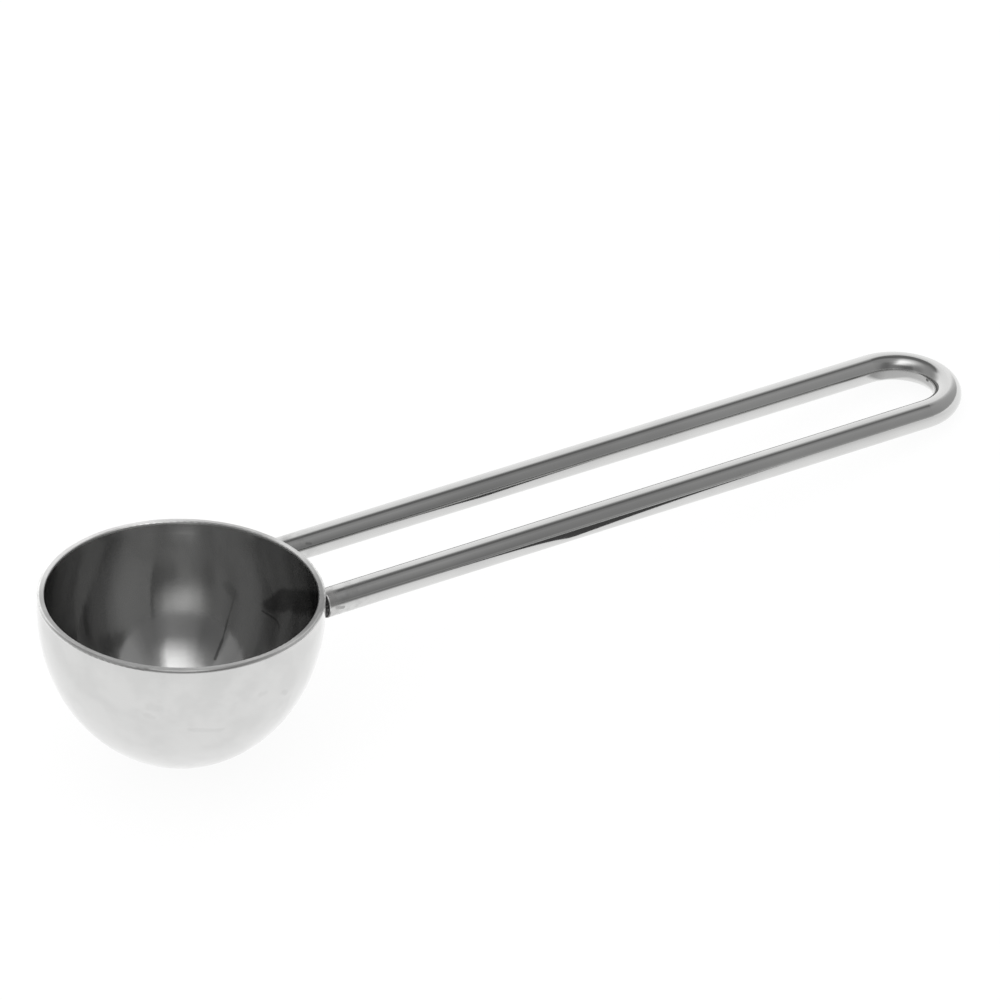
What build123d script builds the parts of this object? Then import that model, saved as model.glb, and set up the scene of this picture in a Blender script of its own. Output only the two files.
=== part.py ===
from build123d import *
import math
import os

os.makedirs("parts", exist_ok=True)

# Coffee measuring spoon: a deep pressed bowl, and one round rod bent into a hairpin loop as its handle.
# Millimetres. The origin is the centre of the rim plane, +X runs along the handle to the loop's end,
# +Y is the left side and +Z points up out of the bowl. Everything hangs below the rim plane.

# The bowl, pressed from one sheet
rim_diameter = 46.5     # across the outside of the rim
bowl_depth = 29.7       # from the rim plane to the outside of the bottom
bowl_wall = 1.2         # thickness of the sheet
straight_depth = 2.5    # how far the wall drops straight before the rounded bottom begins
rim_outer_round = 0.45  # radius broken on the rim's outer edge
rim_inner_round = 0.2   # radius broken on the rim's inner edge

# The handle, one bent rod
rod_diameter = 4.8
leg_spacing = 17.1      # between the centrelines of the two legs
rod_drop = 4.15         # from the rim plane down to the rod's centreline
handle_reach = 151.0    # from the bowl's axis to the outer end of the loop

# The two welded ends
weld_sink = 0.2         # how far each square-cut end was pressed past the wall, measured on the rod's axis
weld_gap = 0.25         # thickness of the weld metal where the rod lies closest to the wall
weld_recess = 0.45      # how far the weld metal lies inside the rod's surface
rod_end_round = 0.25    # radius broken on the rod's end edges

rim_radius = rim_diameter / 2
rod_radius = rod_diameter / 2
leg_offset = leg_spacing / 2
leg_start = math.sqrt(rim_radius**2 - leg_offset**2) - weld_sink
bend_centre = handle_reach - rod_radius - leg_offset
quarter_ellipse = (1, math.sqrt(0.5), 1)  # weights that make a three-point curve a quarter of an ellipse


def bowl_section(outset):
    """Half section of the space inside the bowl's outer skin, with that skin moved out by outset."""
    radius = rim_radius + outset
    floor = -bowl_depth - outset
    with BuildSketch(Plane.XZ) as section:
        with BuildLine():
            Line((0, 0), (radius, 0))
            Line((radius, 0), (radius, -straight_depth))
            Bezier((radius, -straight_depth), (radius, floor), (0, floor), weights=quarter_ellipse)
            Line((0, floor), (0, 0))
        make_face()
    return section.sketch


# Bowl: the outer skin's space less the same shape one wall smaller
with BuildPart() as bowl:
    revolve(bowl_section(0), axis=Axis.Z)
    revolve(bowl_section(-bowl_wall), axis=Axis.Z, mode=Mode.SUBTRACT)
    rim_edges = bowl.edges().filter_by(GeomType.CIRCLE).group_by(Axis.Z)[-1].sort_by(SortBy.RADIUS)
    fillet(rim_edges[-1], rim_outer_round)
    fillet(rim_edges[0], rim_inner_round)

# Handle: out along the right leg, round the loop and back along the left leg, ends held off the wall
with BuildPart() as handle_rod:
    with BuildLine(Plane.XY.offset(-rod_drop)) as centreline:
        Line((leg_start, -leg_offset), (bend_centre, -leg_offset))
        CenterArc((bend_centre, 0), leg_offset, -90, 180)
        Line((bend_centre, leg_offset), (leg_start, leg_offset))
    with BuildSketch(Plane(origin=centreline.line @ 0, z_dir=centreline.line % 0)):
        Circle(rod_radius)
    sweep()
    fillet(handle_rod.faces().filter_by(Axis.X).edges(), rod_end_round)
    revolve(bowl_section(weld_gap), axis=Axis.Z, mode=Mode.SUBTRACT)


def weld_metal(side):
    """The weld between the bowl's wall and the rod's end, on the left for side 1 and the right for -1."""
    with BuildPart() as weld:
        with BuildSketch(Plane.YZ):
            with Locations((side * leg_offset, -rod_drop)):
                Circle(rod_radius - weld_recess)
        extrude(amount=rim_radius + rod_radius)
        revolve(bowl_section(0), axis=Axis.Z, mode=Mode.SUBTRACT)
        add(handle_rod.part, mode=Mode.SUBTRACT)
    return weld


bowl.part.label = "bowl"
export_step(bowl.part, "parts/bowl.step")

handle_rod.part.label = "handle_rod"
export_step(handle_rod.part, "parts/handle_rod.step")

for name, side in (("left_weld", 1), ("right_weld", -1)):
    weld = weld_metal(side)
    weld.part.label = name
    export_step(weld.part, f"parts/{name}.step")

hollow = revolve(bowl_section(-bowl_wall), axis=Axis.Z)
print(f"level capacity {hollow.volume / 1000:.1f} ml")
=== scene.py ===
import math

import bmesh
import bpy
import numpy as np
from mathutils import Matrix, Vector, noise


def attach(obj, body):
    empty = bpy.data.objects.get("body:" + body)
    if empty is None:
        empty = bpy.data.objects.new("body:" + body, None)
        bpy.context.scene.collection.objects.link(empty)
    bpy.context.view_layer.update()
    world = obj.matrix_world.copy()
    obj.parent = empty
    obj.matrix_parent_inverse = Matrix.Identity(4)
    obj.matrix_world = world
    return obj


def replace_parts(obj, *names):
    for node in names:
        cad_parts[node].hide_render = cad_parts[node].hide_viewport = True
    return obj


# A coffee measuring spoon on a white sweep. Metres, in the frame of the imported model: the origin is the
# centre of the rim plane, +X runs along the handle, +Y is the left side and +Z points up out of the bowl.

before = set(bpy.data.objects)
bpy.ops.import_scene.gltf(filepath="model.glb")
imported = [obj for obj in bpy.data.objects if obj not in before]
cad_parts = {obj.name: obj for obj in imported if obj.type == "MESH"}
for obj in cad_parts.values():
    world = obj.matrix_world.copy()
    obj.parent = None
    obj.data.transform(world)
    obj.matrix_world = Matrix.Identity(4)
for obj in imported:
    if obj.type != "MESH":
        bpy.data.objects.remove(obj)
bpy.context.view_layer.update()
scene = bpy.context.scene

MM = 0.001

# Sizes repeated from the model
RIM_RADIUS = 23.25 * MM
BOWL_DEPTH = 29.7 * MM
STRAIGHT_DEPTH = 2.5 * MM
LEG_OFFSET = 8.55 * MM
ROD_DROP = 4.15 * MM
BEND_CENTRE = 140.05 * MM
ROD_END = 21.42 * MM      # the square-cut ends, along the handle
WELD_GAP = 0.25 * MM

# Weld beads: the radius at shares of the way from the wall to the rod's end
BEAD_PROFILE = tuple((share, radius * MM) for share, radius in (
    (0.0, 2.45), (0.08, 2.3), (0.2, 2.14), (0.38, 2.02), (0.58, 1.98), (0.76, 2.02), (0.9, 2.1), (1.0, 2.2),
))
BEAD_LUMPS = 0.16 * MM
BEAD_BITE = 0.05 * MM     # how far each face of a bead is sunk into the steel
BEAD_STEPS = 96
COARSE_LUMPS = 2.2        # lumps to one radius
FINE_LUMPS = 6
FINE_LUMP_SHARE = 0.5

# Camera: a long lens from the front left of the bowl
CAMERA_AIM = Vector((63.5, 4.1, -4.15)) * MM
CAMERA_DISTANCE = 1.4802
CAMERA_AZIMUTH = math.radians(-123.487)    # where the camera stands, turned from +X
CAMERA_ELEVATION = math.radians(31.4435)
CAMERA_ROLL = math.radians(1.7335)
CAMERA_LENS = 324.0                        # for a sensor 36 wide

# The way from the spoon to the camera along the table
FRONT_AZIMUTH = math.radians(-121.1)


def compass(azimuth, elevation=0.0):
    """Unit vector at an azimuth from +X and an elevation above level."""
    level = math.cos(elevation)
    return Vector((math.cos(azimuth) * level, math.sin(azimuth) * level, math.sin(elevation)))


def make_camera():
    """Camera at the fitted place, leaned over by its roll."""
    data = bpy.data.cameras.new("product_camera")
    data.lens = CAMERA_LENS
    data.sensor_width = 36.0
    data.clip_start, data.clip_end = 0.1, 20.0
    camera = bpy.data.objects.new("product_camera", data)
    back = compass(CAMERA_AZIMUTH, CAMERA_ELEVATION)
    level_right = Vector((0, 0, 1)).cross(back).normalized()
    level_up = back.cross(level_right)
    right = level_right * math.cos(CAMERA_ROLL) + level_up * math.sin(CAMERA_ROLL)
    up = back.cross(right)
    turn = Matrix((right, up, back)).transposed().to_4x4()
    camera.matrix_world = Matrix.Translation(CAMERA_AIM + back * CAMERA_DISTANCE) @ turn
    scene.collection.objects.link(camera)
    scene.camera = camera


make_camera()
scene.view_settings.view_transform = "Standard"


# Studio levels: 1 is the white of the background. Turns are in degrees from the camera's side, + to the right
# of the picture; heights are the upward share of a direction, 0 level and 1 straight up.
WHITE = (1.0, 1.0, 1.0, 1.0)
ROOM = (
    (-180, 0.5), (-135, 0.37), (-110, 0.38), (-90, 0.40), (-68, 0.30), (-52, 0.33), (-48, 0.17), (-24, 0.155),
    (-12, 0.24), (10, 0.29), (28, 0.19), (40, 0.21), (57, 0.36), (75, 0.41), (95, 0.46), (125, 0.50), (148, 0.58),
    (180, 0.6),
)
CEILING = (
    (-180, 0.25), (-140, 0.30), (-100, 0.38), (-30, 0.36), (0, 0.30), (90, 0.37), (110, 0.35), (126, 0.17), (150, 0.16),
    (180, 0.25),
)
CEILING_BETWEEN = (0.80, 0.86)
HORIZON_GLOW = 0.3
HORIZON_FADES = (0.03, 0.22)
SWEEP = ((0, 1.27), (0.45, 1.2), (0.70, 1.12), (0.77, 0.98), (0.86, 0.2), (1, 0.2))
SWEEP_SIDES = ((-180, 1), (-148, 1), (-128, 0.15), (-118, 0), (140, 0), (152, 0.3), (162, 1), (180, 1))
SWEEP_DROPS = ((-180, 0.05), (-142, 0.2), (-100, 0.2), (140, 0), (170, 0), (180, 0.05))

# The same room after it has crossed the bowl from side to side
CROSSED_ROOM = (
    (-180, 0.37), (-165, 0.235), (-150, 0.20), (-131, 0.165), (-128.5, 0.37), (-95, 0.41), (-74, 0.38), (-62, 0.31),
    (-50, 0.235), (-44, 0.175), (-30, 0.155), (-15, 0.138), (-6, 0.078), (3, 0.068), (18, 0.09), (32, 0.155),
    (38, 0.215), (56, 0.27), (76, 0.28), (93, 0.22), (104, 0.28), (116, 0.31), (126, 0.23), (132, 0.18),
    (150, 0.265), (166, 0.39), (180, 0.39),
)
CROSSED_CEILING = (
    (-180, 0.40), (-160, 0.36), (-135, 0.30), (-108, 0.30), (-81, 0.28), (-63, 0.25), (0, 0.24), (60, 0.25), (84, 0.29),
    (112, 0.255), (135, 0.29), (160, 0.37), (180, 0.39),
)
CROSSED_CEILING_BETWEEN = (0.62, 0.76)
CROSSED_TOP = (                     # straight overhead
    (-180, 0.24), (-153, 0.17), (-135, 0.1), (-117, 0.085), (-99, 0.155), (-60, 0.23), (60, 0.25), (99, 0.15),
    (117, 0.235), (135, 0.3), (153, 0.35), (171, 0.27), (180, 0.24),
)
CROSSED_TOP_BETWEEN = (0.80, 0.92)
LOW_SWEEP = 1.27
LOW_SWEEP_FADES = (0.37, 0.545)
LOW_SWEEP_LEAN = -0.05              # how far its top edge climbs from left to right
LOW_SWEEP_SIDES = (
    (-180, 1), (-172, 0.99), (-162, 0.84), (-150, 0.53), (-140, 0.25), (-131, 0), (116, 0), (126, 0.085), (138, 0.215),
    (150, 0.52), (162, 0.78), (172, 0.96), (180, 1),
)

# The softbox hangs level over the spoon. Its own places are shares of its height: across the picture, and ahead
# towards the camera.
SOFTBOX_HEIGHT = 0.4
SOFTBOX_LEVEL = 1.45
SOFTBOX_ACROSS = (
    (-1.0, 0), (-0.7, 0.05), (-0.52, 0.12), (-0.45, 0.19), (-0.3, 0.4), (-0.1, 0.78), (0.07, 0.97), (0.2, 1), (0.6, 1),
)
SOFTBOX_RIGHT_EDGE = ((0.29, 1), (0.38, 0.5), (0.46, 0.17), (0.64, 0.04), (0.8, 0))
SOFTBOX_RIGHT_SLANTS = ((0.5, 0.075), (0.85, -0.03))     # ahead, and how far the right edge is moved in there
SOFTBOX_AHEAD = (
    (-0.55, 0), (-0.2, 0.45), (0.1, 1), (0.55, 1), (0.72, 0.86), (0.88, 0.62), (0.97, 0.45), (1.05, 0.32), (1.32, 0),
)
SOFTBOX_SKEW = 0.45
SOFTBOX_MIDDLE = 0.5                # ahead, where the fade of its far side hands over to the near side's
SOFTBOX_MARGIN = 0.3

# The floor as the steel sees it, dimmer away from the spoon on the camera's side
FLOOR_REACH = 6.0
FLOOR_LEVEL = 1.18
FLOOR_FRONT_LEVEL = 0.36
FLOOR_DIMS_BETWEEN = (0.06, 0.15)
FLOOR_SHADE = 0.9
FLOOR_CAMERA_LEVEL = 1.06
FLOOR_GLOW_SHARE = 0.82
FLOOR_MIRRORED_SHARE = 0.97
DARK_CARD_TIP = Vector((75.5, -17.0, 0.0)) * MM
DARK_CARD_WAY = Vector((0.5, -0.86, 0.0)).normalized()
DARK_CARD_REACH = 80.0 * MM
DARK_CARD_FADE = 20.0 * MM
DARK_CARD_SPREAD = 0.56
DARK_CARD_BLUNT = 0.5 * MM          # half the width of its tip
DARK_CARD_EDGE = (1.0, 0.9)
DARK_CARD_LEVEL = 0.06

# Steel
OUTSIDE_STEEL = (0.58, 0.58, 0.575, 1)
INSIDE_STEEL = (0.52, 0.52, 0.516, 1)
RIM_BLACK = (0, 0, 0, 1)
RIM_WHITE = (1, 1, 0.99, 1)
RIM_TONE_AND_REFLECTION_LEVELS = (                      # how bright the ground rim is, by its turn in degrees from the handle: grinding tone with painted reflection
    (-180, 0.37), (-168, 0.41), (-150, 0.4), (-132, 0.37), (-115, 0.41), (-96, 0.42), (-84, 0.45), (-72, 0.36),
    (-60, 0.245), (-48, 0.21), (-36, 0.21), (-24, 0.27), (-12, 0.38), (0, 0.62), (12, 0.75), (24, 0.6), (48, 0.61),
    (60, 0.69), (72, 0.83), (90, 0.8), (110, 0.75), (134, 0.66), (145, 0.5), (152, 0.4), (168, 0.375), (180, 0.37),
)
RIM_EDGE_TONE_AND_HIGHLIGHT_LEVELS = (                 # the same for its broken outer edge: its tone with a painted highlight
    (-180, 0.76), (-168, 0.65), (-146, 0.64), (-134, 0.5), (-121, 0.42), (-108, 0.4), (-96, 0.5), (-83, 0.6),
    (-72, 0.68), (-58, 0.6), (-46, 0.46), (-34, 0.4), (-24, 0.85), (-12, 1), (-3, 0.7), (3, 0.5), (12, 0.4),
    (22, 0.95), (59, 1), (110, 1), (145, 0.95), (160, 0.78), (170, 0.78), (180, 0.76),
)
RIM_EDGE_BETWEEN = (22.7, 23.0)     # out from the axis
RIM_HEIGHTS = (-0.6, -0.35)         # in mm, where the ground rim begins
RIM_MOTTLE = 0.16
RIM_MOTTLE_NOISE = (0.5, 4.0)
ROD_STEEL = (0.58, 0.58, 0.575, 1)
HAZE_COLOUR = (0.32, 0.32, 0.32, 1)
SPECK_COLOUR = (0.2, 0.2, 0.2, 1)
HEAT_TINT = (0.42, 0.41, 0.405, 1)
HEAT_SCALE = (0.057, 0.057, 0.056, 1)
END_SCALE = (0.03, 0.03, 0.03, 1)
# the cut ends' broken edge: bare filed steel, lightened into a painted highlight
FILED_STEEL_AND_HIGHLIGHT = (0.85, 0.85, 0.845, 1)
FILED_EDGE_ENDS = (-4.7, -3.9)      # by height: filed, with a painted highlight, above; mostly scaled below
SCALED_EDGE_SHARE = 0.75
# the grey of the darker patch low inside the loop
LOOP_DARK_STEEL = (0.2, 0.2, 0.198, 1)
WELD_BARE = (0.156, 0.156, 0.155, 1)
WELD_BUMP = 0.15 * MM
WELD_LUMPS = (2.2, 4.0, 0.6)        # its noise: lumps to 1 mm, detail, roughness
WELD_RIPPLES = {"Scale": 1.4, "Distortion": 2.5, "Detail": 2.0}
WELD_RIPPLE_SHARE = 0.35
WELD_BARE_RELIEFS = (0.55, 0.8)     # the high places are bare
WELD_ROUGHNESS = (0.2, 0.8, 0.62, 0.36)     # from low to high relief
OUTSIDE_ROUGHNESS = 0.12
INSIDE_ROUGHNESS = 0.08
INSIDE_METAL = 0.95                 # the rest is a thin white haze
RIM_ROUGHNESS = 0.30
ROD_ROUGHNESS = 0.09
SCALE_ROUGHNESS = 0.6
FILED_ROUGHNESS = 0.4
LINE_SCRATCHES = (0.62, 0.78)       # the part of the polishing lines that counts as scratches
LINE_WIDE_SHARE = 0.35
ROUND_POLISH = 0.85
ROUND_POLISH_TURN = 0.25            # a quarter turn: the lines run round the bowl
BOWL_LINES_PER_MM = 3.0
BOWL_LINE_TURN = 2.5                # how soon one line gives way to the next, round the bowl
BOWL_LINE_ROUGHNESS = 0.05
ROD_LINES_PER_MM = 2.5
ROD_LINE_DRIFT = 0.07               # the same along the rod, for 1 mm
ROD_LINE_ROUGHNESS = 0.06
INSIDE_FACES = (0.2, -0.2)          # how far a face looks outward, from outside to inside
END_FACES = (-0.75, -0.95)          # how far a face looks along the handle: the cut end's flat
END_EDGE_FACES = (-0.1, -0.3)       # and its broken edge
END_BETWEEN = (23.4, 22.9)          # along the handle, in mm
LOOP_FACES = (0.3, 0.6)             # how far a face looks to the middle of the loop
BOWL_BUMP = 0.0025 * MM
ROD_BUMP = 0.0025 * MM
WELD_PLACE = (22.0, 8.55, -4.15)    # the left weld; the right one mirrors it

# Marks on the spoon, with painted shade on the legs and a painted reflection in the bowl, in mm
STAIN_COLOUR = (0.22, 0.22, 0.218, 1)
STAIN_DROP = 8.3                    # the weld's heat stain slants down the inside wall, this far down at its middle
STAIN_SLOPE = 0.53
STAIN_HALF_WIDTH = 2.2
STAIN_RAGGED = 3.2
STAIN_SOFTNESS = 1.5
STAIN_NOISE = (0.4, 3.0, 0.5)
STAIN_END_BETWEEN = (7.6, 3.4)
STAIN_TIP = 1.6                     # how far its end takes to fade
STAIN_WALL = (14.0, 18.0)           # along the handle: it lies on the wall by the welds only
STAIN_RUBBED = 0.3
BOWL_MARKS_AND_PAINTED_REFLECTION = (                      # from, to, half width, how dark
    # the first four rows paint a dark reflection on the inside wall: a line running down it and the patch above it; the
    # rest are marks
    ((17.3, 11.5, -11.1), (15.5, 10.9, -15.9), 0.2, 0.3),
    ((15.5, 10.9, -15.9), (13.9, 10.0, -18.8), 0.24, 0.5),
    ((13.9, 10.0, -18.8), (12.1, 9.2, -21.5), 0.32, 0.6),
    ((16.4, 12.9, -10.6), (17.2, 11.4, -12.2), 1.0, 0.2),
    ((19.3, 6.3, -12.9), (20.0, 3.2, -13.1), 0.22, 0.6),
    ((20.0, 3.2, -13.1), (20.2, 1.6, -14.0), 0.2, 0.5),
    ((-6.5, 19.7, -11.2), (-6.9, 17.9, -15.2), 0.6, 0.3),
    ((-9.8, -19.4, -12.0), (-5.0, -21.0, -12.8), 0.7, 0.06),
    ((6.0, -21.8, -8.6), (6.6, -21.5, -9.3), 0.7, 0.08),
    ((1.0, -22.9, -6.9), (2.0, -22.8, -7.0), 0.7, 0.05),
    ((-15.6, -16.5, -7.3), (-14.4, -17.6, -7.6), 1.1, 0.05),
    ((-15.9, -15.9, -9.2), (-15.1, -16.6, -9.5), 0.8, 0.05),
)
ROD_MARKS = (
    ((22.7, -10.95, -4.0), (24.0, -10.95, -4.3), 0.4, 0.5),
    ((27.7, 6.55, -2.7), (28.5, 6.5, -2.95), 0.25, 0.35),
    ((146.2, 0.1, -3.7), (146.2, -0.3, -3.7), 0.3, 0.9),
)
WELD_HAZE_BETWEEN = (33.0, 24.0)    # along the handle
WELD_HAZE_RUBBED = 0.8
# Painted shade on the legs, not a film: a dark band low on the legs near the bowl, a soft shade under their grey band,
# and a darker dip in their middle band.
LEG_PAINTED_SHADE_ENDS = (75.0, 42.0)        # along the handle
LEG_PAINTED_SHADE_SHARES = (                 # by height
    (-3.85, 0.0), (-3.6, 0.45), (-3.35, 0.45), (-3.1, 0.36), (-2.7, 0.16), (-2.3, 0.0),
)
LEG_SHADE_ENDS = (146.0, 139.0)
LEG_SHADE_SHARES = ((-4.6, 0.0), (-4.1, 0.07), (-3.8, 0.15), (-3.5, 0.26), (-3.3, 0.12), (-3.1, 0.0))
LEG_PAINTED_DIP_ALONG = ((45.0, 0.0), (60.0, 1.0), (85.0, 1.0), (112.0, 0.0))
LEG_PAINTED_DIP_SHARES = ((-3.35, 0.0), (-3.15, 0.19), (-2.1, 0.19), (-1.9, 0.0))
# A darker grey patch low on the inside of the loop's bend, pointed where it starts and widening downward.
LOOP_DARK_STARTS = (137.6, 139.2)   # along the handle
LOOP_DARK_MIDDLE = -3.9             # its start is a point at this height
LOOP_DARK_SLANT = 1.6
LOOP_DARK_SHARES = ((137.6, 0.92), (139.8, 0.88), (142.0, 0.62), (145.4, 0.56), (147.0, 0.4))
LOOP_DARK_TOP = (-3.4, -3.8)
LOOP_DARK_BOTTOM = (-4.8, -4.1)
LOOP_DARK_WIDTHS = (                # how far down it widens
    (137.8, 0.0), (141.5, 1.3), (143.5, 1.0), (145.0, 0.4), (147.0, 0.2),
)
LOOP_INSIDE_BETWEEN = (136.0, 139.0)
LOOP_INSIDE_ROUGHNESS = 0.08        # added where things have hung
RUB_SIZE = 1.6
RUB_COLOUR = (0.3, 0.3, 0.298, 1)
RUB_DARKENS = 0.45
RUB_ROUGHNESS = 0.16
HAZE_PATCHES = (0.38, 0.68)         # the part of its noise that shows
HAZE_SHARE = 0.12
HAZE_ROUGHNESS = 0.03
# also the colour of the painted shade on the legs and of the painted dark reflection in the bowl
MARK_AND_PAINTED_SHADE_COLOUR = (0.08, 0.08, 0.079, 1)
MARK_NOISE = (1.3, 2.0)
MARK_CORE = 0.4                     # the share of its half width that is full dark
MARK_DEPTHS = (1.0, 0.6)            # how far off its line a mark reaches through the steel
BOWL_WEAR = {"Heat Reach": 2.8, "Haze Size": 6.0, "Speck Share": 0.5, "Speck Spacing": 2.6, "Speck Size": 0.1}
ROD_WEAR = {"Heat Reach": 3.2, "Haze Size": 12.0, "Speck Share": 0.6, "Speck Spacing": 2.2, "Speck Size": 0.12}
TINT_HEATS = (0.05, 0.6)            # the heats between which the steel dulls, and then scales over
TINT_SHARE = 0.4
SCALE_HEATS = (0.8, 1.0)
SCALE_SHARE = 0.7
HEAT_FULL = 1.6                     # how far from a weld the steel is fully heated
HEAT_RAGGED = 1.6
HEAT_NOISE = (1.1, 3.0)
HEAT_ROUGHNESS = 0.25
SPECK_CORE = 0.4                    # the share of a speck's radius that is full dark
SPECK_ROUGHNESS = 0.2
SPECK_PIT = -1.5

# Node helpers


class Wiring:
    """A node tree being wired: adds nodes, sets their values and links what is a socket."""

    def __init__(self, tree):
        self.tree = tree

    def add(self, kind, values=None, **settings):
        node = self.tree.nodes.new(kind)
        for name, value in settings.items():
            setattr(node, name, value)
        for key, value in (values or {}).items():
            self.put(node.inputs[key], value)
        return node

    def put(self, socket, value):
        if isinstance(value, bpy.types.NodeSocket):
            self.tree.links.new(value, socket)
        else:
            socket.default_value = value

    def maths(self, operation, *values, clamp=False):
        node = self.add("ShaderNodeMath", operation=operation, use_clamp=clamp)
        for socket, value in zip(node.inputs, values):
            self.put(socket, value)
        return node.outputs[0]

    def vectors(self, operation, *values, out=0):
        node = self.add("ShaderNodeVectorMath", operation=operation)
        sockets = (node.inputs[0], node.inputs["Scale"]) if operation == "SCALE" else node.inputs
        for socket, value in zip(sockets, values):
            self.put(socket, value)
        return node.outputs[out]

    def axis(self, vector, name):
        return self.add("ShaderNodeSeparateXYZ", {"Vector": vector}).outputs[name]

    def place(self, group, values):
        """A shared effect, with this material's own values."""
        node = self.add("ShaderNodeGroup", node_tree=group)
        for name, value in values.items():
            self.put(node.inputs[name], value)
        return node.outputs

    def ramp(self, value, low, high, to_low=0.0, to_high=1.0, smooth=True):
        """The value carried from low..high to to_low..to_high, held flat outside."""
        node = self.add(
            "ShaderNodeMapRange",
            {"Value": value, "From Min": low, "From Max": high, "To Min": to_low, "To Max": to_high},
            interpolation_type="SMOOTHSTEP" if smooth else "LINEAR",
        )
        return node.outputs["Result"]

    def blend(self, share, first, second):
        """A number between first and second."""
        node = self.add("ShaderNodeMix", data_type="FLOAT")
        for socket, value in zip(node.inputs[:1] + node.inputs[2:4], (share, first, second)):
            self.put(socket, value)
        return node.outputs[0]

    def tint(self, share, first, second):
        """A colour between first and second."""
        node = self.add("ShaderNodeMix", data_type="RGBA")
        for socket, value in zip(node.inputs[:1] + node.inputs[6:8], (share, first, second)):
            self.put(socket, value)
        return node.outputs[2]

    def noise(self, vector, scale, detail=2.0, roughness=0.5):
        node = self.add(
            "ShaderNodeTexNoise",
            {"Vector": vector, "Scale": scale, "Detail": detail, "Roughness": roughness},
        )
        return node.outputs[0]

    def stops(self, value, *stops):
        """A number read off stops of (place, value), straight between them."""
        first, last = stops[0][0], stops[-1][0]
        share = self.maths("DIVIDE", self.maths("SUBTRACT", value, first), last - first, clamp=True)
        node = self.add("ShaderNodeFloatCurve", {"Value": share})
        node.mapping.extend = "HORIZONTAL"
        curve = node.mapping.curves[0]
        top = max(v for _, v in stops)
        while len(curve.points) < len(stops):
            curve.points.new(0.5, 0.5)
        for point, (place, level) in zip(curve.points, stops):
            point.location = ((place - first) / (last - first), level / top)
            point.handle_type = "VECTOR"
        node.mapping.update()
        return self.maths("MULTIPLY", node.outputs[0], top)


# Studio


def make_studio_light():
    """The room as polished steel sees it: a white sweep behind, a grey ceiling, and a darker camera side.
    The camera and matt surfaces see plain white."""
    world = bpy.data.worlds.new("studio_room")
    world.use_nodes = True
    scene.world = world
    world.node_tree.nodes.clear()
    w = Wiring(world.node_tree)
    way = w.add("ShaderNodeTexCoord").outputs["Generated"]
    height = w.maths("MAXIMUM", w.axis(way, "Z"), 0.0)
    ahead = w.vectors("DOT_PRODUCT", way, tuple(compass(FRONT_AZIMUTH)), out=1)
    aside = w.vectors("DOT_PRODUCT", way, tuple(compass(FRONT_AZIMUTH + math.pi / 2)), out=1)
    turn = w.maths("MULTIPLY", w.maths("ARCTAN2", aside, ahead), 180 / math.pi)
    rays = w.add("ShaderNodeLightPath")
    crossed = w.maths("GREATER_THAN", rays.outputs["Glossy Depth"], 1.5)    # mirrored by more than one wall

    room = w.maths("MULTIPLY_ADD", w.ramp(height, *HORIZON_FADES, 1.0, 0.0), HORIZON_GLOW, w.stops(turn, *ROOM))
    room = w.blend(w.ramp(height, *CEILING_BETWEEN), room, w.stops(turn, *CEILING))
    sweep = w.stops(w.maths("ADD", height, w.stops(turn, *SWEEP_DROPS)), *SWEEP)
    straight = w.blend(w.stops(turn, *SWEEP_SIDES), room, sweep)
    leaned = w.maths("MULTIPLY_ADD", aside, LOW_SWEEP_LEAN, height)
    low_sweep = w.maths("MULTIPLY", w.ramp(leaned, *LOW_SWEEP_FADES, 1.0, 0.0), w.stops(turn, *LOW_SWEEP_SIDES))
    crossed_room, crossed_ceiling = w.stops(turn, *CROSSED_ROOM), w.stops(turn, *CROSSED_CEILING)
    crossed_room = w.blend(w.ramp(height, *CROSSED_CEILING_BETWEEN), crossed_room, crossed_ceiling)
    crossed_room = w.blend(w.ramp(height, *CROSSED_TOP_BETWEEN), crossed_room, w.stops(turn, *CROSSED_TOP))
    crossing = w.blend(low_sweep, crossed_room, LOW_SWEEP)
    level = w.blend(crossed, straight, crossing)

    plain = w.maths("MAXIMUM", rays.outputs["Is Camera Ray"], rays.outputs["Is Diffuse Ray"])
    background = w.add("ShaderNodeBackground", {"Color": WHITE, "Strength": w.blend(plain, level, 1.0)})
    output = w.add("ShaderNodeOutputWorld")
    w.put(output.inputs["Surface"], background.outputs[0])


def resting_plane():
    """The way square to the table and how far down it lies, with the spoon on its bowl and its loop's end."""
    def corners(name):
        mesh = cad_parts[name].data
        points = np.empty(len(mesh.vertices) * 3, np.float32)
        mesh.vertices.foreach_get("co", points)
        return points.reshape(-1, 3).astype(float)

    bowl, rod = corners("bowl"), corners("handle_rod")
    low, high = 0.0, 0.5
    for _ in range(40):
        lean = (low + high) / 2
        up = np.array((-math.sin(lean), 0.0, math.cos(lean)))
        if (rod @ up).min() > (bowl @ up).min():
            low = lean
        else:
            high = lean
    return Vector(up), (bowl @ up).min()


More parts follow.
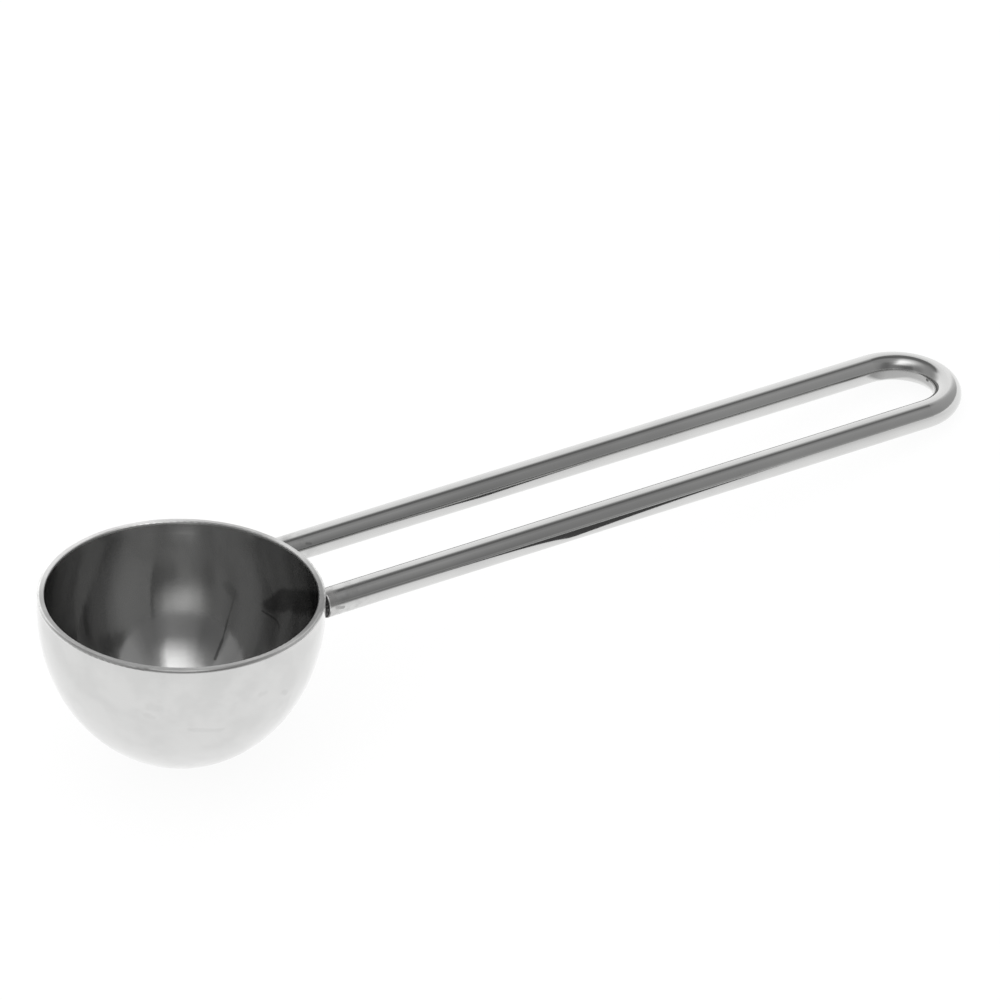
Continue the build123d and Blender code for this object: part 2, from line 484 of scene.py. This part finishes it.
def make_floor():
    """White floor that the spoon rests on, seen from above only."""
    up, drop = resting_plane()
    along = Vector((0, 1, 0)).cross(up).normalized()
    across = up.cross(along)
    mesh = bpy.data.meshes.new("floor")
    ways = ((-1, -1), (1, -1), (1, 1), (-1, 1))
    points = [tuple(up * drop + (along * a + across * b) * FLOOR_REACH) for a, b in ways]
    mesh.from_pydata(points, [], [(0, 1, 2, 3)])
    floor = bpy.data.objects.new("floor", mesh)
    scene.collection.objects.link(floor)

    finish = bpy.data.materials.new("white_floor")
    finish.use_nodes = True
    finish.node_tree.nodes.clear()
    w = Wiring(finish.node_tree)
    place = w.add("ShaderNodeTexCoord").outputs["Object"]
    ahead = w.maths("MULTIPLY", w.axis(place, "Y"), -1.0)
    mirrored = w.ramp(ahead, *FLOOR_DIMS_BETWEEN, FLOOR_LEVEL, FLOOR_FRONT_LEVEL)
    from_tip = w.vectors("SUBTRACT", place, tuple(DARK_CARD_TIP))
    side = DARK_CARD_WAY.cross(Vector((0, 0, 1)))
    along = w.vectors("DOT_PRODUCT", from_tip, tuple(DARK_CARD_WAY), out=1)
    aside = w.maths("ABSOLUTE", w.vectors("DOT_PRODUCT", from_tip, tuple(side), out=1))
    half_width = w.maths("MULTIPLY_ADD", w.maths("MAXIMUM", along, 0.0), DARK_CARD_SPREAD, DARK_CARD_BLUNT)
    spread = w.maths("DIVIDE", aside, half_width)
    dark = w.ramp(along, DARK_CARD_REACH, DARK_CARD_REACH - DARK_CARD_FADE)
    dark = w.maths("MULTIPLY", w.ramp(along, 0.0, 1 * MM), dark)
    dark = w.maths("MULTIPLY", dark, w.ramp(spread, *DARK_CARD_EDGE))
    mirrored = w.blend(dark, mirrored, DARK_CARD_LEVEL)
    rays = w.add("ShaderNodeLightPath")
    lit = w.add("ShaderNodeBsdfDiffuse", {"Color": (FLOOR_SHADE,) * 3 + (1,)})
    glow = w.blend(rays.outputs["Is Camera Ray"], mirrored, FLOOR_CAMERA_LEVEL)
    shine = w.add("ShaderNodeEmission", {"Color": WHITE, "Strength": glow})
    share = w.blend(rays.outputs["Is Camera Ray"], FLOOR_MIRRORED_SHARE, FLOOR_GLOW_SHARE)
    mixed = w.add("ShaderNodeMixShader", {0: share, 1: lit.outputs[0], 2: shine.outputs[0]})
    clear = w.add("ShaderNodeBsdfTransparent")
    below = w.add("ShaderNodeNewGeometry").outputs["Backfacing"]
    both = w.add("ShaderNodeMixShader", {0: below, 1: mixed.outputs[0], 2: clear.outputs[0]})
    w.put(w.add("ShaderNodeOutputMaterial").inputs["Surface"], both.outputs[0])
    mesh.materials.append(finish)


def make_softbox():
    """A soft light over the spoon that only its steel mirrors; bright on one side and fading to the other."""
    across, ahead = compass(FRONT_AZIMUTH + math.pi / 2), compass(FRONT_AZIMUTH)
    left, right = SOFTBOX_ACROSS[0][0], SOFTBOX_RIGHT_EDGE[-1][0]
    back, front = SOFTBOX_AHEAD[0][0] - SOFTBOX_MARGIN, SOFTBOX_AHEAD[-1][0] + SOFTBOX_MARGIN
    corners = ((left, back), (right, back), (right, front), (left, front))
    mesh = bpy.data.meshes.new("softbox")
    points = [tuple((across * u + ahead * v + Vector((0, 0, 1))) * SOFTBOX_HEIGHT) for u, v in corners]
    mesh.from_pydata(points, [], [(0, 1, 2, 3)])
    softbox = bpy.data.objects.new("softbox", mesh)
    softbox.visible_camera = softbox.visible_diffuse = softbox.visible_shadow = False
    scene.collection.objects.link(softbox)

    finish = bpy.data.materials.new("softbox_cloth")
    finish.use_nodes = True
    finish.node_tree.nodes.clear()
    w = Wiring(finish.node_tree)
    place = w.vectors("SCALE", w.add("ShaderNodeTexCoord").outputs["Object"], 1 / SOFTBOX_HEIGHT)
    u = w.vectors("DOT_PRODUCT", place, tuple(across), out=1)
    v = w.vectors("DOT_PRODUCT", place, tuple(ahead), out=1)
    skewed = w.maths("MULTIPLY_ADD", w.maths("MAXIMUM", u, 0.0), -SOFTBOX_SKEW, v)
    far_side = w.stops(w.maths("MINIMUM", skewed, SOFTBOX_MIDDLE), *SOFTBOX_AHEAD)
    near_side = w.stops(w.maths("MAXIMUM", v, SOFTBOX_MIDDLE), *SOFTBOX_AHEAD)
    (slant_from, moved_from), (slant_to, moved_to) = SOFTBOX_RIGHT_SLANTS
    slanted = w.maths("ADD", u, w.ramp(v, slant_from, slant_to, moved_from, moved_to, smooth=False))
    sides = w.maths("MULTIPLY", w.stops(u, *SOFTBOX_ACROSS), w.stops(slanted, *SOFTBOX_RIGHT_EDGE))
    level = w.maths("MULTIPLY", w.maths("MULTIPLY", far_side, near_side), sides)
    shine = w.add("ShaderNodeEmission", {"Color": WHITE, "Strength": w.maths("MULTIPLY", level, SOFTBOX_LEVEL)})
    clear = w.add("ShaderNodeBsdfTransparent")
    both = w.add("ShaderNodeAddShader", {0: clear.outputs[0], 1: shine.outputs[0]})
    w.put(w.add("ShaderNodeOutputMaterial").inputs["Surface"], both.outputs[0])
    mesh.materials.append(finish)


make_studio_light()
make_floor()
make_softbox()


# Effects that the finishes share


def new_group(name, inputs, outputs):
    """An empty node group with named inputs, as (name, kind, start value), and outputs, as (name, kind)."""
    tree = bpy.data.node_groups.new(name, "ShaderNodeTree")
    for label, kind, value in inputs:
        socket = tree.interface.new_socket(label, in_out="INPUT", socket_type="NodeSocket" + kind)
        socket.default_value = value
    for label, kind in outputs:
        tree.interface.new_socket(label, in_out="OUTPUT", socket_type="NodeSocket" + kind)
    w = Wiring(tree)
    return tree, w, w.add("NodeGroupInput").outputs, w.add("NodeGroupOutput").inputs


def make_polish_lines():
    """Fine lines left by polishing. Slow is the place along the lines, Fast A and Fast B those across them, in mm."""
    tree, w, given, out = new_group(
        "polish_lines",
        [("Slow", "Vector", (0, 0, 0)), ("Fast A", "Float", 0), ("Fast B", "Float", 0),
         ("Lines per mm", "Float", 4)],
        [("Height", "Float"), ("Scratches", "Float")],
    )
    fine_a = w.maths("MULTIPLY", given["Fast A"], given["Lines per mm"])
    fine_b = w.maths("MULTIPLY", given["Fast B"], given["Lines per mm"])
    place = w.vectors("ADD", given["Slow"], w.add("ShaderNodeCombineXYZ", {"Z": fine_a}).outputs[0])
    lines = w.add(
        "ShaderNodeTexNoise", {"Vector": place, "W": fine_b, "Scale": 1.0, "Detail": 3.0, "Roughness": 0.65},
        noise_dimensions="4D",
    ).outputs[0]
    wide = w.add(
        "ShaderNodeTexNoise",
        {"Vector": w.vectors("MULTIPLY", place, (0.6, 0.6, 0.35)), "W": w.maths("MULTIPLY", fine_b, 0.35),
         "Scale": 1.0, "Detail": 1.0, "Roughness": 0.5},
        noise_dimensions="4D",
    ).outputs[0]
    w.put(out["Height"], w.blend(LINE_WIDE_SHARE, lines, wide))
    w.put(out["Scratches"], w.ramp(lines, *LINE_SCRATCHES))
    return tree


def make_hand_marks():
    """Soft patches where a cloth or a hand has dulled the shine. Size is in mm."""
    tree, w, given, out = new_group(
        "hand_marks", [("Place", "Vector", (0, 0, 0)), ("Size", "Float", 8)], [("Haze", "Float")]
    )
    scale = w.maths("DIVIDE", 1.0, given["Size"])
    patches = w.noise(w.vectors("SCALE", given["Place"], scale), 1.0, 3.0, 0.55)
    w.put(out["Haze"], w.ramp(patches, *HAZE_PATCHES))
    return tree


def make_specks():
    """Small dots of dust and pitting. Spacing is in mm, Share is how many of the places hold one."""
    tree, w, given, out = new_group(
        "specks",
        [("Place", "Vector", (0, 0, 0)), ("Spacing", "Float", 2.5), ("Dot", "Float", 0.12), ("Share", "Float", 0.3)],
        [("Dots", "Float")],
    )
    place = w.vectors("SCALE", given["Place"], w.maths("DIVIDE", 1.0, given["Spacing"]))
    cells = w.add("ShaderNodeTexVoronoi", {"Vector": place, "Scale": 1.0, "Randomness": 1.0})
    reach = w.maths("DIVIDE", given["Dot"], given["Spacing"])
    dot = w.ramp(cells.outputs["Distance"], reach, w.maths("MULTIPLY", reach, SPECK_CORE))
    picked = w.maths("LESS_THAN", w.axis(cells.outputs["Color"], "X"), given["Share"])
    w.put(out["Dots"], w.maths("MULTIPLY", dot, picked))
    return tree


def make_drawn_mark():
    """One short dark mark, drawn from Start to End over the curve of the surface between them. All in mm."""
    tree, w, given, out = new_group(
        "drawn_mark",
        [("Place", "Vector", (0, 0, 0)), ("Normal", "Vector", (0, 0, 1)), ("Start", "Vector", (0, 0, 0)),
         ("End", "Vector", (1, 0, 0)), ("Half Width", "Float", 0.3), ("Strength", "Float", 0.5)],
        [("Dark", "Float")],
    )
    run = w.vectors("SUBTRACT", given["End"], given["Start"])
    from_start = w.vectors("SUBTRACT", given["Place"], given["Start"])
    run_squared = w.vectors("DOT_PRODUCT", run, run, out=1)
    share = w.maths("DIVIDE", w.vectors("DOT_PRODUCT", from_start, run, out=1), run_squared, clamp=True)
    off = w.vectors("SUBTRACT", from_start, w.vectors("SCALE", run, share))
    lifted = w.vectors("DOT_PRODUCT", off, given["Normal"], out=1)
    away = w.vectors("LENGTH", w.vectors("SUBTRACT", off, w.vectors("SCALE", given["Normal"], lifted)), out=1)
    ragged = w.maths("SUBTRACT", w.noise(given["Place"], *MARK_NOISE), 0.5)
    away = w.maths("MULTIPLY_ADD", ragged, given["Half Width"], away)
    mark = w.ramp(away, given["Half Width"], w.maths("MULTIPLY", given["Half Width"], MARK_CORE))
    near = w.ramp(w.maths("ABSOLUTE", lifted), *MARK_DEPTHS)
    w.put(out["Dark"], w.maths("MULTIPLY", w.maths("MULTIPLY", mark, near), given["Strength"]))
    return tree


def make_weld_heat():
    """How hot the steel was near either weld, from 1 at the weld to 0 away from it, with a ragged edge."""
    tree, w, given, out = new_group(
        "weld_heat", [("Place", "Vector", (0, 0, 0)), ("Reach", "Float", 4)], [("Heat", "Float")]
    )
    folded = w.vectors("ABSOLUTE", w.vectors("SUBTRACT", given["Place"], (WELD_PLACE[0], 0, WELD_PLACE[2])))
    away = w.vectors("LENGTH", w.vectors("SUBTRACT", folded, (0, WELD_PLACE[1], 0)), out=1)
    ragged = w.maths("MULTIPLY_ADD", w.noise(given["Place"], *HEAT_NOISE), HEAT_RAGGED, -HEAT_RAGGED / 2)
    away = w.maths("ADD", away, ragged)
    w.put(out["Heat"], w.maths("SUBTRACT", 1.0, w.ramp(away, HEAT_FULL, given["Reach"])))
    return tree


def make_steel_wear():
    """What polishing, use and the welds' heat leave on a piece of steel: haze, specks, tint and relief.
    Rubbed places hold a finer, stronger haze."""
    tree, w, given, out = new_group(
        "steel_wear",
        [("Place", "Vector", (0, 0, 0)), ("Colour", "Color", (0.5, 0.5, 0.5, 1)), ("Roughness", "Float", 0.1),
         ("Height", "Float", 0.5), ("Rubbed", "Float", 0), ("Heated", "Float", 1), ("Heat Reach", "Float", 3),
         ("Haze Size", "Float", 8), ("Speck Share", "Float", 0.5), ("Speck Spacing", "Float", 2.5),
         ("Speck Size", "Float", 0.1)],
        [("Colour", "Color"), ("Roughness", "Float"), ("Height", "Float")],
    )
    place = given["Place"]
    haze = w.place(HAND_MARKS, {"Place": place, "Size": given["Haze Size"]})["Haze"]
    rubs = w.maths("MULTIPLY", w.place(HAND_MARKS, {"Place": place, "Size": RUB_SIZE})["Haze"], given["Rubbed"])
    dots = w.place(SPECKS, {"Place": place, "Spacing": given["Speck Spacing"], "Dot": given["Speck Size"]})["Dots"]
    heat = w.place(WELD_HEAT, {"Place": place, "Reach": given["Heat Reach"]})["Heat"]
    heat = w.maths("MULTIPLY", heat, given["Heated"])
    colour = w.tint(w.maths("MULTIPLY", haze, HAZE_SHARE), given["Colour"], HAZE_COLOUR)
    colour = w.tint(w.maths("MULTIPLY", rubs, RUB_DARKENS), colour, RUB_COLOUR)
    colour = w.tint(w.maths("MULTIPLY", dots, given["Speck Share"]), colour, SPECK_COLOUR)
    colour = w.tint(w.maths("MULTIPLY", w.ramp(heat, *TINT_HEATS), TINT_SHARE), colour, HEAT_TINT)
    w.put(out["Colour"], w.tint(w.maths("MULTIPLY", w.ramp(heat, *SCALE_HEATS), SCALE_SHARE), colour, HEAT_SCALE))
    roughness = w.maths("MULTIPLY_ADD", haze, HAZE_ROUGHNESS, given["Roughness"])
    roughness = w.maths("MULTIPLY_ADD", rubs, RUB_ROUGHNESS, roughness)
    roughness = w.maths("MULTIPLY_ADD", heat, HEAT_ROUGHNESS, roughness)
    w.put(out["Roughness"], w.maths("MULTIPLY_ADD", dots, SPECK_ROUGHNESS, roughness))
    w.put(out["Height"], w.maths("MULTIPLY_ADD", dots, SPECK_PIT, given["Height"]))
    return tree


POLISH_LINES = make_polish_lines()
HAND_MARKS = make_hand_marks()
SPECKS = make_specks()
DRAWN_MARK = make_drawn_mark()
WELD_HEAT = make_weld_heat()
STEEL_WEAR = make_steel_wear()


# Finishes


def new_finish(name):
    """A material with its wiring, its shader and the place on the piece in mm."""
    finish = bpy.data.materials.new(name)
    finish.use_nodes = True
    w = Wiring(finish.node_tree)
    shader = finish.node_tree.nodes["Principled BSDF"]
    where = w.add("ShaderNodeTexCoord")
    place = w.vectors("SCALE", where.outputs["Object"], 1 / MM)
    return finish, w, shader, place, where.outputs["Normal"]


def dark_marks(w, place, normal, marks):
    """How dark all the marks on one piece make its steel."""
    total = 0.0
    for start, end, half_width, strength in marks:
        values = {
            "Place": place, "Normal": normal, "Start": start, "End": end,
            "Half Width": half_width, "Strength": strength,
        }
        total = w.maths("MAXIMUM", w.place(DRAWN_MARK, values)["Dark"], total)
    return total


def wear_steel(w, shader, values, bump):
    """Puts the wear into a steel's shader; bump is how high its relief stands."""
    worn = w.place(STEEL_WEAR, values)
    w.put(shader.inputs["Base Color"], worn["Colour"])
    w.put(shader.inputs["Roughness"], worn["Roughness"])
    relief = w.add("ShaderNodeBump", {"Height": worn["Height"], "Strength": 1.0, "Distance": bump})
    w.put(shader.inputs["Normal"], relief.outputs[0])


def make_bowl_finish():
    """Steel polished round and round: bright outside, duller inside, and ground flat on the rim, whose brightness is
    grinding tone with painted reflection. A painted dark reflection runs down the inside wall.
    """
    finish, w, shader, place, normal = new_finish("bowl_polished_steel")
    x, y, z = (w.axis(place, a) for a in "XYZ")
    level = w.add("ShaderNodeCombineXYZ", {"X": x, "Y": y}).outputs[0]
    out_from_axis = w.vectors("LENGTH", level, out=1)
    round_bowl = w.vectors("SCALE", w.vectors("NORMALIZE", level), BOWL_LINE_TURN)
    lines = {"Slow": round_bowl, "Fast A": out_from_axis, "Fast B": z, "Lines per mm": BOWL_LINES_PER_MM}
    lines = w.place(POLISH_LINES, lines)
    outward = w.vectors("NORMALIZE", w.vectors("SUBTRACT", place, (0, 0, -STRAIGHT_DEPTH / MM)))
    inside = w.ramp(w.vectors("DOT_PRODUCT", normal, outward, out=1), *INSIDE_FACES)
    rim = w.ramp(z, *RIM_HEIGHTS)
    turn = w.maths("MULTIPLY", w.maths("ARCTAN2", y, x), 180 / math.pi)
    mottle = w.maths("MULTIPLY_ADD", w.noise(place, *RIM_MOTTLE_NOISE), RIM_MOTTLE, -RIM_MOTTLE / 2)
    # the rim's brightness by turn is grinding tone with painted reflection
    rim_tone_and_reflection = w.maths("ADD", w.stops(turn, *RIM_TONE_AND_REFLECTION_LEVELS), mottle)
    ground = w.tint(rim_tone_and_reflection, RIM_BLACK, RIM_WHITE)
    along_stain = w.maths("MULTIPLY_ADD", y, STAIN_SLOPE, w.maths("ADD", z, STAIN_DROP))
    stain_edge = w.maths("MULTIPLY_ADD", w.noise(place, *STAIN_NOISE), STAIN_RAGGED, -STAIN_RAGGED / 2)
    off_stain = w.maths("ADD", w.maths("ABSOLUTE", along_stain), stain_edge)
    half_width = w.maths("MULTIPLY", w.ramp(y, *STAIN_END_BETWEEN), STAIN_HALF_WIDTH)
    stain = w.ramp(w.maths("SUBTRACT", half_width, off_stain), -STAIN_SOFTNESS / 2, STAIN_SOFTNESS / 2)
    stain = w.maths("MULTIPLY", stain, w.ramp(y, STAIN_END_BETWEEN[0], STAIN_END_BETWEEN[0] - STAIN_TIP))
    stain = w.maths("MULTIPLY", w.maths("MULTIPLY", stain, inside), w.ramp(x, *STAIN_WALL))
    colour = w.tint(inside, OUTSIDE_STEEL, INSIDE_STEEL)
    colour = w.tint(stain, colour, STAIN_COLOUR)
    # marks, and the painted dark reflection down the inside wall
    colour = w.tint(dark_marks(w, place, normal, BOWL_MARKS_AND_PAINTED_REFLECTION), colour, MARK_AND_PAINTED_SHADE_COLOUR)
    # its broken outer edge: tone with a painted highlight
    rim_edge_tone_and_highlight = w.tint(w.stops(turn, *RIM_EDGE_TONE_AND_HIGHLIGHT_LEVELS), RIM_BLACK, RIM_WHITE)
    on_edge = w.ramp(out_from_axis, *RIM_EDGE_BETWEEN)
    ring = w.tint(on_edge, ground, rim_edge_tone_and_highlight)
    colour = w.tint(rim, colour, ring)
    roughness = w.blend(rim, w.blend(inside, OUTSIDE_ROUGHNESS, INSIDE_ROUGHNESS), RIM_ROUGHNESS)
    roughness = w.maths("MULTIPLY_ADD", lines["Scratches"], BOWL_LINE_ROUGHNESS, roughness)
    w.put(shader.inputs["Metallic"], w.blend(inside, 1.0, INSIDE_METAL))
    shader.inputs["Anisotropic"].default_value = ROUND_POLISH
    shader.inputs["Anisotropic Rotation"].default_value = ROUND_POLISH_TURN
    w.put(shader.inputs["Tangent"], w.add("ShaderNodeTangent", direction_type="RADIAL", axis="Z").outputs[0])
    values = {
        "Place": place, "Colour": colour, "Roughness": roughness, "Height": lines["Height"],
        "Rubbed": w.maths("MULTIPLY", stain, STAIN_RUBBED), "Heated": w.maths("SUBTRACT", 1.0, inside), **BOWL_WEAR,
    }
    wear_steel(w, shader, values, BOWL_BUMP)
    return finish


def make_rod_finish():
    """Rod polished along its length, with dark scale on its two cut ends, painted shade along the legs, a filed edge
    with a painted highlight on each end, and a darker patch inside the loop.
    """
    finish, w, shader, place, normal = new_finish("rod_polished_steel")
    x, y, z = (w.axis(place, a) for a in "XYZ")
    centre, offset = BEND_CENTRE / MM, LEG_OFFSET / MM
    past = w.maths("MAXIMUM", w.maths("SUBTRACT", x, centre), 0.0)
    beside = w.maths("SQRT", w.maths("ADD", w.maths("POWER", past, 2.0), w.maths("POWER", w.maths("ABSOLUTE", y), 2.0)))
    turned = w.maths("MULTIPLY", w.maths("ARCTAN2", past, w.maths("ABSOLUTE", y)), offset)
    to_tip = w.maths("SUBTRACT", centre + offset * math.pi / 2, w.maths("ADD", w.maths("MINIMUM", x, centre), turned))
    along = w.maths("MULTIPLY", to_tip, w.maths("SIGN", y))
    slow = w.add("ShaderNodeCombineXYZ", {"X": w.maths("MULTIPLY", along, ROD_LINE_DRIFT)}).outputs[0]
    lines = w.place(POLISH_LINES, {"Slow": slow, "Fast A": beside, "Fast B": z, "Lines per mm": ROD_LINES_PER_MM})
    roughness = w.maths("MULTIPLY_ADD", lines["Scratches"], ROD_LINE_ROUGHNESS, ROD_ROUGHNESS)
    end = w.maths("MULTIPLY", w.ramp(x, *END_BETWEEN), w.ramp(w.axis(normal, "X"), *END_FACES))
    inward = w.vectors("NORMALIZE", w.vectors("SUBTRACT", (centre, 0, -ROD_DROP / MM), place))
    facing_in = w.ramp(w.vectors("DOT_PRODUCT", normal, inward, out=1), *LOOP_FACES)
    widened = w.maths("ADD", w.stops(x, *LOOP_DARK_WIDTHS), z)
    off_middle = w.maths("ABSOLUTE", w.maths("SUBTRACT", z, LOOP_DARK_MIDDLE))
    started = w.ramp(w.maths("MULTIPLY_ADD", off_middle, -LOOP_DARK_SLANT, x), *LOOP_DARK_STARTS)
    # the darker grey patch low on the inside of the loop
    loop_dark = w.maths("MULTIPLY", w.ramp(z, *LOOP_DARK_TOP), w.ramp(widened, *LOOP_DARK_BOTTOM))
    loop_dark = w.maths("MULTIPLY", w.maths("MULTIPLY", loop_dark, facing_in), started)
    loop_dark = w.maths("MULTIPLY", loop_dark, w.stops(x, *LOOP_DARK_SHARES))
    loop_inside = w.maths("MULTIPLY", facing_in, w.ramp(x, *LOOP_INSIDE_BETWEEN))
    roughness = w.maths("MULTIPLY_ADD", loop_inside, LOOP_INSIDE_ROUGHNESS, roughness)
    # painted shade on the legs: the dark band near the bowl, the shade under the grey band and the dip in the middle
    # band
    leg_painted_shade = w.maths("MULTIPLY", w.stops(z, *LEG_PAINTED_SHADE_SHARES), w.ramp(x, *LEG_PAINTED_SHADE_ENDS))
    shade = w.maths("MULTIPLY", w.stops(z, *LEG_SHADE_SHARES), w.ramp(x, *LEG_SHADE_ENDS))
    band_painted_dip = w.maths("MULTIPLY", w.stops(z, *LEG_PAINTED_DIP_SHARES), w.stops(x, *LEG_PAINTED_DIP_ALONG))
    leg_painted_shade = w.maths("ADD", w.maths("MAXIMUM", leg_painted_shade, shade), band_painted_dip)
    colour = w.tint(leg_painted_shade, ROD_STEEL, MARK_AND_PAINTED_SHADE_COLOUR)
    colour = w.tint(loop_dark, colour, LOOP_DARK_STEEL)
    colour = w.tint(dark_marks(w, place, normal, ROD_MARKS), colour, MARK_AND_PAINTED_SHADE_COLOUR)
    # the broken edge of each cut end: bare filed steel with a painted highlight, brightest on top
    filed_edge_and_highlight = w.maths("MULTIPLY", w.ramp(x, *END_BETWEEN), w.ramp(w.axis(normal, "X"), *END_EDGE_FACES))
    filed_edge_and_highlight = w.maths("SUBTRACT", filed_edge_and_highlight, end, clamp=True)
    scaled_edge = w.maths("MULTIPLY", filed_edge_and_highlight, w.ramp(z, *FILED_EDGE_ENDS, SCALED_EDGE_SHARE, 0.0))
    filed_edge_and_highlight = w.maths("SUBTRACT", filed_edge_and_highlight, scaled_edge)
    scaled = w.maths("MAXIMUM", end, scaled_edge)
    colour = w.tint(scaled, colour, END_SCALE)
    roughness = w.blend(scaled, roughness, SCALE_ROUGHNESS)
    colour = w.tint(filed_edge_and_highlight, colour, FILED_STEEL_AND_HIGHLIGHT)
    roughness = w.blend(filed_edge_and_highlight, roughness, FILED_ROUGHNESS)
    shader.inputs["Metallic"].default_value = 1.0
    values = {
        "Place": place, "Colour": colour, "Roughness": roughness, "Height": lines["Height"],
        "Rubbed": w.maths("MULTIPLY", w.ramp(x, *WELD_HAZE_BETWEEN), WELD_HAZE_RUBBED),
        "Heated": w.maths("SUBTRACT", 1.0, filed_edge_and_highlight), **ROD_WEAR,
    }
    wear_steel(w, shader, values, ROD_BUMP)
    return finish


def make_weld_finish():
    """Bare weld metal: dark, scaled and lumpy."""
    finish, w, shader, place, _ = new_finish("weld_scale")
    lumps = w.noise(place, *WELD_LUMPS)
    ripples = w.add("ShaderNodeTexWave", {"Vector": place, **WELD_RIPPLES}, bands_direction="Y").outputs[1]
    relief = w.blend(WELD_RIPPLE_SHARE, lumps, ripples)
    bare = w.ramp(relief, *WELD_BARE_RELIEFS)
    w.put(shader.inputs["Base Color"], w.tint(bare, HEAT_SCALE, WELD_BARE))
    w.put(shader.inputs["Roughness"], w.ramp(relief, *WELD_ROUGHNESS))
    shader.inputs["Metallic"].default_value = 1.0
    bump = w.add("ShaderNodeBump", {"Height": relief, "Strength": 1.0, "Distance": WELD_BUMP})
    w.put(shader.inputs["Normal"], bump.outputs[0])
    return finish


# The weld beads, which the model has as plain discs


def wall_reach(y, z, stand_off=0.0):
    """How far out along the handle the bowl's outer wall lies at y and z, or a skin that stands off it."""
    drop = max(0.0, -z - STRAIGHT_DEPTH) / (BOWL_DEPTH - STRAIGHT_DEPTH + stand_off)
    return math.sqrt((RIM_RADIUS + stand_off) ** 2 * (1 - drop**2) - y**2)


def rod_end_reach(y, z):
    """Where the rod's end lies: cut square, and hollowed where the wall would touch it."""
    return max(ROD_END, wall_reach(y, z, WELD_GAP))


def make_weld_bead(name, side, finish):
    """A lumpy ring of weld metal that fills the gap between the wall and one end of the rod."""
    middle_y = side * LEG_OFFSET
    bead = bmesh.new()
    rings = []
    for share, radius in BEAD_PROFILE:
        ring = []
        for step in range(BEAD_STEPS):
            angle = math.tau * step / BEAD_STEPS
            way = Vector((share, math.cos(angle), math.sin(angle)))
            coarse = noise.noise(way * COARSE_LUMPS + Vector((0, 0, side * 9)))
            fine = noise.noise(way * FINE_LUMPS + Vector((side * 5, 0, 0)))
            reach = radius + (coarse + FINE_LUMP_SHARE * fine) * BEAD_LUMPS
            y, z = middle_y + way.y * reach, way.z * reach - ROD_DROP
            wall, rod = wall_reach(y, z) - BEAD_BITE, rod_end_reach(y, z) + BEAD_BITE
            ring.append(bead.verts.new((wall + (rod - wall) * share, y, z)))
        rings.append(ring)
    for near, far in zip(rings, rings[1:]):
        for step in range(BEAD_STEPS):
            after = (step + 1) % BEAD_STEPS
            bead.faces.new((near[step], near[after], far[after], far[step]))
    for ring, reach, bite in ((rings[0], wall_reach, -BEAD_BITE), (rings[-1], rod_end_reach, BEAD_BITE)):
        hub = bead.verts.new((reach(middle_y, -ROD_DROP) + bite, middle_y, -ROD_DROP))
        for step in range(BEAD_STEPS):
            bead.faces.new((ring[step], ring[(step + 1) % BEAD_STEPS], hub))
    bmesh.ops.recalc_face_normals(bead, faces=bead.faces)
    for face in bead.faces:
        face.smooth = True
    mesh = bpy.data.meshes.new(name)
    bead.to_mesh(mesh)
    bead.free()
    mesh.materials.append(finish)
    piece = bpy.data.objects.new(name, mesh)
    scene.collection.objects.link(piece)
    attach(piece, "root")
    return piece


weld_finish = make_weld_finish()
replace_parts(make_weld_bead("left_weld_bead", 1, weld_finish), "left_weld")
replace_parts(make_weld_bead("right_weld_bead", -1, weld_finish), "right_weld")
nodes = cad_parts
nodes["bowl"].material_slots[0].material = make_bowl_finish()
nodes["handle_rod"].material_slots[0].material = make_rod_finish()
